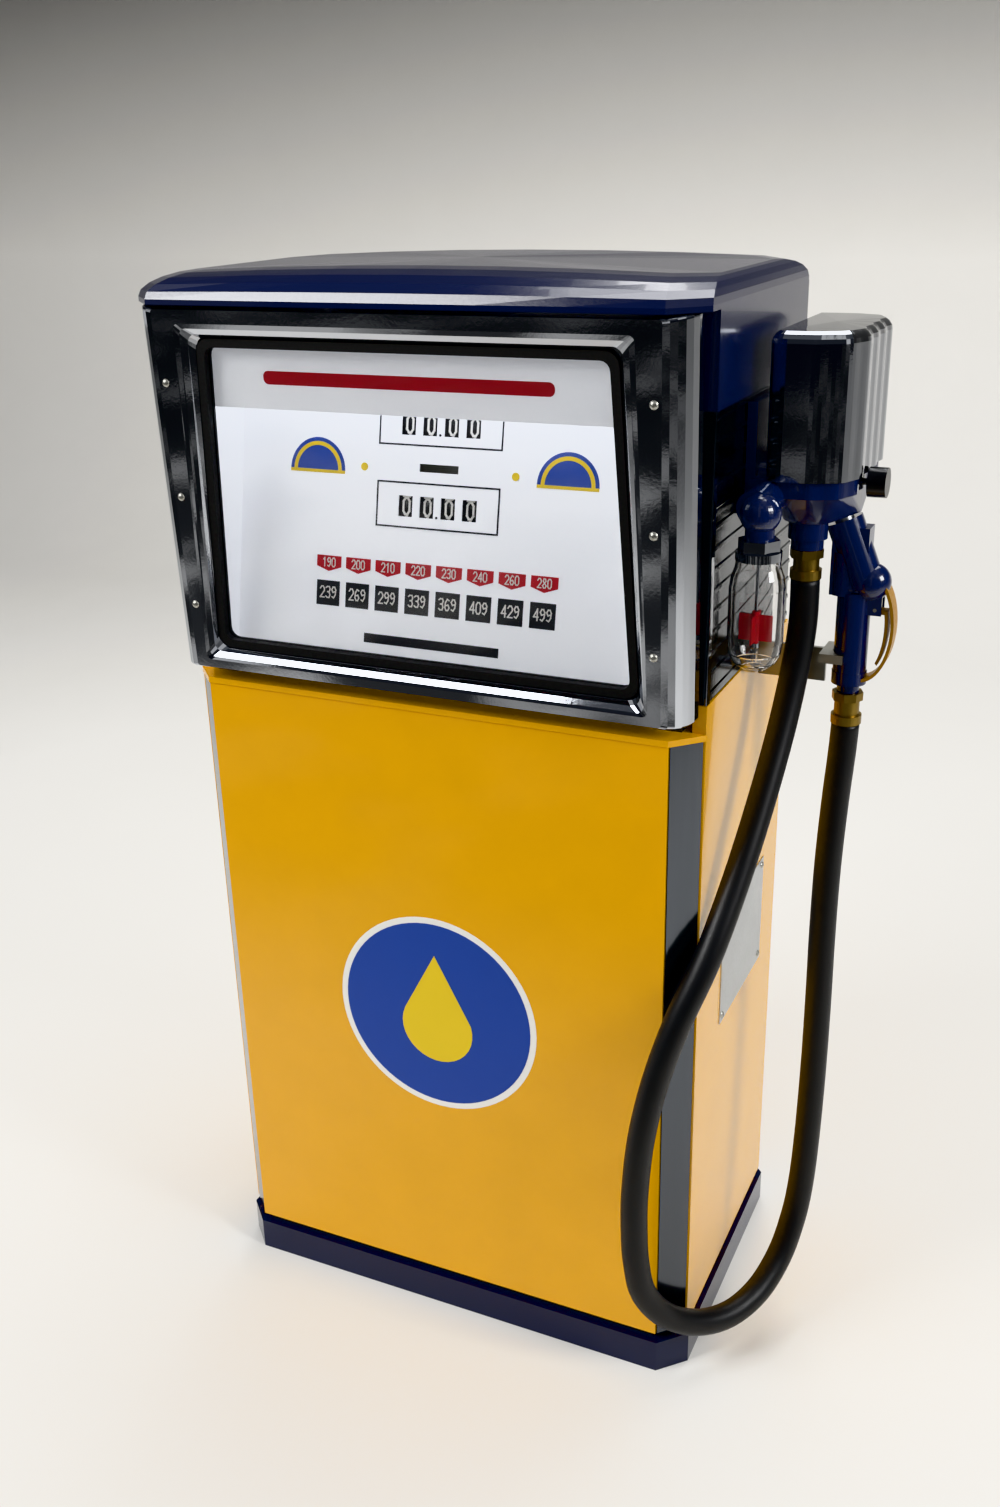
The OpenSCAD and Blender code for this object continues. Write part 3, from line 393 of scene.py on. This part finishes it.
class PUMP_OT_stage(Operator):
    """Adds the camera, the lights and the floor"""

    bl_idname = "pump.stage"
    bl_label = "Stage"

    def floor_painted_shade(self):
        """A pale floor with painted shade: dark in front of the view and high up, so that it darkens the
        chrome with painted dark reflections.
        """
        mat = finish("floor_painted_shade_and_light", "EFEDE8", 0.75, wear=0.04, bump=0.02, size_mm=12)
        tree = mat.node_tree
        colour = next(n for n in tree.nodes if n.type == "BSDF_PRINCIPLED").inputs["Base Color"]
        place = add_node(tree, "ShaderNodeTexCoord")
        parts = add_node(tree, "ShaderNodeSeparateXYZ", {"Vector": place.outputs["Object"]})
        # lighter patches of painted light out there, for the chrome to show as painted reflections
        painted_light_spots = add_node(tree, "ShaderNodeTexNoise", {"Vector": place.outputs["Object"]}, Scale=1.6,
                         Detail=2.0)
        patches = add_node(tree, "ShaderNodeMapRange", {"Value": painted_light_spots.outputs["Fac"]}, From_Min=0.48,
                           From_Max=0.62, To_Min=0.02, To_Max=0.5)
        # painted shade: nearly black in front of the view, and darker high up
        front = add_node(tree, "ShaderNodeMapRange", {"Value": parts.outputs["Y"],
                                                      "To Min": patches.outputs[0]},
                         From_Min=-1.5, From_Max=-0.8, To_Max=1.0)
        high = add_node(tree, "ShaderNodeMapRange", {"Value": parts.outputs["Z"]}, From_Min=1.2,
                        From_Max=2.4, To_Min=1.0, To_Max=0.3)
        part = add_node(tree, "ShaderNodeMath", {0: front.outputs[0], 1: high.outputs[0]},
                        operation="MULTIPLY")
        shade = add_node(tree, "ShaderNodeMix", {"Factor": part.outputs[0]}, data_type="RGBA")
        shade.inputs[6].default_value = (0.01, 0.01, 0.01, 1)
        tree.links.new(colour.links[0].from_socket, shade.inputs[7])
        tree.links.new(shade.outputs[2], colour)
        return mat

    def execute(self, context):
        scene = context.scene
        turn = Matrix((CAMERA_RIGHT, -CAMERA_DOWN, -CAMERA_AHEAD)).transposed().to_4x4()
        lens = bpy.data.cameras.new("camera")
        lens.lens = LENS
        lens.sensor_fit = "VERTICAL"
        lens.sensor_height = SENSOR
        lens.clip_start = 0.05
        camera = bpy.data.objects.new("camera", lens)
        camera.matrix_world = Matrix.Translation(CAMERA_AT) @ turn
        scene.collection.objects.link(camera)
        scene.camera = camera
        # a pale floor, with painted shade and painted light patches, that curves up behind the pump
        half, near, far, high, bend = 12, -9.0, 3.0, 9.0, 1.5
        line = [(near, 0.0)] + [(far + bend * sin(radians(a)), bend - bend * cos(radians(a)))
                                for a in range(0, 91, 6)] + [(far + bend, high)]
        points = [(x, y, z) for y, z in line for x in (-half, half)]
        faces = [[2 * i, 2 * i + 1, 2 * i + 3, 2 * i + 2] for i in range(len(line) - 1)]
        floor = piece("studio_floor", points, faces, self.floor_painted_shade(), None, smooth=True)
        for name, spot, power, size in (("key", (-2.6, -3.0, 3.6), 180, 2.0),
                                        ("side", (3.4, -0.6, 2.6), 80, 1.2),
                                        ("top", (0.2, 1.6, 4.2), 110, 2.6)):
            data = bpy.data.lights.new(name, "AREA")
            data.energy = power
            data.size = size
            light = bpy.data.objects.new(name, data)
            light.location = spot
            light.rotation_euler = (Vector((0, 0, 0.8)) - Vector(spot)).to_track_quat("-Z", "Y").to_euler()
            scene.collection.objects.link(light)
        world = bpy.data.worlds.new("studio")
        scene.world = world
        world.use_nodes = True
        tree = world.node_tree
        tree.nodes.clear()
        place = add_node(tree, "ShaderNodeTexCoord")
        parts = add_node(tree, "ShaderNodeSeparateXYZ", {"Vector": place.outputs["Generated"]})
        # a dim room, a little lighter overhead
        ramp = add_node(tree, "ShaderNodeValToRGB", {"Fac": parts.outputs["Z"]})
        ramp.color_ramp.elements[0].position = 0.0
        ramp.color_ramp.elements[0].color = (0.03, 0.03, 0.035, 1)
        ramp.color_ramp.elements[1].position = 1.0
        ramp.color_ramp.elements[1].color = (0.30, 0.31, 0.33, 1)
        # tall bright openings round it, which stripe the chrome
        tall = add_node(tree, "ShaderNodeMapping", {"Vector": place.outputs["Generated"]},
                        Scale=(4.2, 4.2, 0.5))
        patches = add_node(tree, "ShaderNodeTexNoise", {"Vector": tall.outputs["Vector"]}, Scale=1.0,
                           Detail=1.0)
        openings = add_node(tree, "ShaderNodeValToRGB", {"Fac": patches.outputs["Fac"]})
        openings.color_ramp.elements[0].position = 0.54
        openings.color_ramp.elements[0].color = (0, 0, 0, 1)
        openings.color_ramp.elements[1].position = 0.60
        openings.color_ramp.elements[1].color = (1.0, 1.0, 1.0, 1)
        both = add_node(tree, "ShaderNodeMix", data_type="RGBA", blend_type="LIGHTEN")
        both.inputs[0].default_value = 1.0
        tree.links.new(ramp.outputs["Color"], both.inputs[6])
        tree.links.new(openings.outputs["Color"], both.inputs[7])
        glow = add_node(tree, "ShaderNodeBackground", {"Color": both.outputs[2]}, Strength=0.7)
        add_node(tree, "ShaderNodeOutputWorld", {"Surface": glow.outputs["Background"]})
        scene.view_settings.view_transform = "Khronos PBR Neutral"
        return {"FINISHED"}


class PUMP_OT_hose(Operator):
    """Adds the delivery hose as one smooth tube"""

    bl_idname = "pump.hose"
    bl_label = "Hose"

    def execute(self, context):
        size = context.scene.pump_sizes.hose
        path = smooth_path(HOSE_ROUTE, 5)
        points, faces = tube(path, size / 2)
        hose = piece("hose_cover", points, faces, finishes()["hose"], None, smooth=True)
        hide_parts("hose")
        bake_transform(hose)
        return {"FINISHED"}


class PUMP_OT_finishes(Operator):
    """Gives every CAD node its finish"""

    bl_idname = "pump.finishes"
    bl_label = "Finishes"

    def execute(self, context):
        mats = finishes()
        done = set()
        for key, names in NODE_FINISH.items():
            for name in names:
                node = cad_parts[name]
                node.data.materials.clear()
                node.data.materials.append(mats[key])
                done.add(name)
        missing = set(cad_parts) - done
        if missing:
            raise RuntimeError(f"nodes with no finish: {sorted(missing)}")
        return {"FINISHED"}


class PUMP_OT_counters(Operator):
    """Adds the numerals on the counter wheels"""

    bl_idname = "pump.counters"
    bl_label = "Counter numerals"

    def execute(self, context):
        mat = finishes()["white"]
        high = context.scene.pump_sizes.digit / MM
        for kind, s in (("sale", SALE), ("gallons", GALLONS)):
            for i in range(1, 5):
                x = (2.5 - i) * WHEEL_PITCH
                parts = []
                # ten numerals round the drum; the one that shows is a nought
                for k, mark in enumerate("0123468902"):
                    got, around = plates(numeral(mark, 0, -high / 2, high, 2.6), -WHEEL_FACE - 0.8,
                                         -WHEEL_FACE)
                    spin = Matrix.Rotation(k * pi / 5, 4, "X")
                    parts.append(([spin @ Vector(p) for p in got], around))
                points, faces = merge(parts)
                place = DIAL @ Matrix.Translation((x * MM, WHEEL_DEPTH * MM, s * MM))
                piece(f"{kind}_numerals_{i}", points, faces, mat, f"{kind}_digit_{i}", place)
        return {"FINISHED"}


class PUMP_OT_dial(Operator):
    """Adds the printed markings of the dial"""

    bl_idname = "pump.dial"
    bl_label = "Dial markings"

    def print_on(self, name, outlines, key, layer=0, place=DIAL):
        """Ink on the dial: each layer lies in front of the last."""
        front = -0.5 - INK * layer
        points, faces = plates(outlines, front, front + INK)
        piece(name, points, faces, finishes()[key], "cabinet", place)

    def execute(self, context):
        self.print_on("sale_frame", bars(-85, 85, SALE - 26, SALE + 28, 2.2), "ink")
        self.print_on("gallons_frame", bars(-85, 85, GALLONS - 27, GALLONS + 30, 2.2), "ink")
        self.print_on("decimal_points", [rounded(-1.6, 1.6, s - 13, s - 10, 1) for s in (SALE, GALLONS)],
                      "ink")
        self.print_on("dial_screws", [sector(x, 255, 5, 0, 360)[:-2] for x in (-104, 104)], "gold", 1)
        # a row of grades as pennants, with the price of each in a box below
        column_pitch = 43
        columns = [(i - 3.5) * column_pitch for i in range(8)]
        pennants = [[(x - 18, 140), (x - 18, 126), (x, 120), (x + 18, 126), (x + 18, 140)] for x in columns]
        self.print_on("grade_pennants", pennants, "red")
        self.print_on("price_boxes", [rect(x - 17, x + 17, 76, 108) for x in columns], "ink")
        grades = ["190", "200", "210", "220", "230", "240", "260", "280"]
        prices = ["239", "269", "299", "339", "369", "409", "429", "499"]
        grade_marks, price_marks = [], []
        for x, grade, price in zip(columns, grades, prices):
            grade_marks += numeral(grade, x, 126, 11, 1.4)
            price_marks += numeral(price, x, 86, 14, 1.7)
        self.print_on("grade_numerals", grade_marks, "white", 1)
        self.print_on("price_numerals", price_marks, "white", 1)
        self.print_on("foot_strip", [rect(-95, 95, 34, 46)], "ink")
        # a plain half disc on each side of the counters
        fan_foot, fan_radius = 248, 40
        for side, x in (("left", -172), ("right", 172)):
            self.print_on(f"fan_{side}", [sector(x, fan_foot, fan_radius, 0, 180)], "blue")
            rim = sector(x, fan_foot, fan_radius - 5, 0, 180, inner=fan_radius - 10)
            base = rect(x - fan_radius, x + fan_radius, fan_foot - 4, fan_foot)
            self.print_on(f"fan_rim_{side}", [rim, base], "gold", 1)
        # the valance in front of the lamp has a plain red band
        self.print_on("valance_band", [rounded(-190, 190, 372, 388, 7)], "red", 0,
                      FACE @ Matrix.Translation((0, 0.030, 0)))
        return {"FINISHED"}


class PUMP_OT_badge(Operator):
    """Adds the round badge of the front panel"""

    bl_idname = "pump.badge"
    bl_label = "Badge"

    def execute(self, context):
        mats = finishes()
        r = context.scene.pump_sizes.badge / MM
        low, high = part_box("front_panel")
        place = Matrix.Translation((0, low.y, (low.z + high.z) / 2))

        def disc(name, outlines, key, layer):
            front = -0.45 - INK * layer
            points, faces = plates(outlines, front, front + INK)
            piece(name, points, faces, mats[key], "cabinet", place)

        disc("badge_disc", [sector(0, 0, r, 0, 360, 72)[:-2]], "white", 0)
        disc("badge_field", [sector(0, 0, r - 9, 0, 360, 72)[:-2]], "blue", 1)
        # a drop: the lower part of a circle, drawn up to a point
        drop = [(0, r * 0.62)] + [(r * 0.36 * cos(radians(a)), r * (0.36 * sin(radians(a)) - 0.14))
                                  for a in range(155, 386, 11)]
        disc("badge_drop", [drop], "gold", 2)
        return {"FINISHED"}


class PUMP_OT_details(Operator):
    """Adds small hardware: the motor's fins and the hose's ferrules"""

    bl_idname = "pump.details"
    bl_label = "Details"

    def execute(self, context):
        mats = finishes()
        low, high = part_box("motor")
        fins, fin_pitch, fin_radius, fin_wide, first_fin, axis_z = 14, 12, 86, 2, 90, 190
        axis_x = (high.x + low.x) / 2 / MM
        turns = [2 * pi * a / 48 for a in range(48)]
        ring = [(axis_x + fin_radius * cos(a), axis_z + fin_radius * sin(a)) for a in turns]
        starts = [low.y / MM + first_fin + k * fin_pitch for k in range(fins)]
        points, faces = merge(plates([ring], y, y + fin_wide) for y in starts)
        piece("motor_fins", points, faces, mats["primer"], "cabinet")
        ferrule_radius, ferrule_start, ferrule_end = 0.0195, 0.0005, 0.012
        for name, end, body in (("outlet_ferrule", HOSE_ROUTE[0], "cabinet"),
                                ("swivel_ferrule", HOSE_ROUTE[-1], "hose_swivel")):
            path = [Vector(end) + Vector((0, 0, rise)) for rise in (ferrule_start, ferrule_end)]
            points, faces = tube(path, ferrule_radius, 32)
            piece(name, points, faces, mats["brass"], body)
        return {"FINISHED"}


class PUMP_PT_panel(Panel):
    """Lists the pump's operators"""

    bl_label = "Fuel pump"
    bl_idname = "PUMP_PT_panel"
    bl_space_type = "VIEW_3D"
    bl_region_type = "UI"
    bl_category = "Pump"

    def draw(self, context):
        for made in OPERATORS:
            self.layout.operator(made.bl_idname)


OPERATORS = (PUMP_OT_stage, PUMP_OT_hose, PUMP_OT_finishes, PUMP_OT_counters, PUMP_OT_dial,
             PUMP_OT_badge, PUMP_OT_details)
CLASSES = (PumpColours, PumpSizes) + OPERATORS + (PUMP_PT_panel,)


def register():
    for made in CLASSES:
        bpy.utils.register_class(made)
    bpy.types.Scene.pump_colours = PointerProperty(type=PumpColours)
    bpy.types.Scene.pump_sizes = PointerProperty(type=PumpSizes)


def unregister():
    del bpy.types.Scene.pump_sizes
    del bpy.types.Scene.pump_colours
    for made in reversed(CLASSES):
        bpy.utils.unregister_class(made)


def main():
    register()
    for operator in ("stage", "hose", "finishes", "counters", "dial", "badge", "details"):
        getattr(bpy.ops.pump, operator)()


if __name__ == "__main__":
    main()
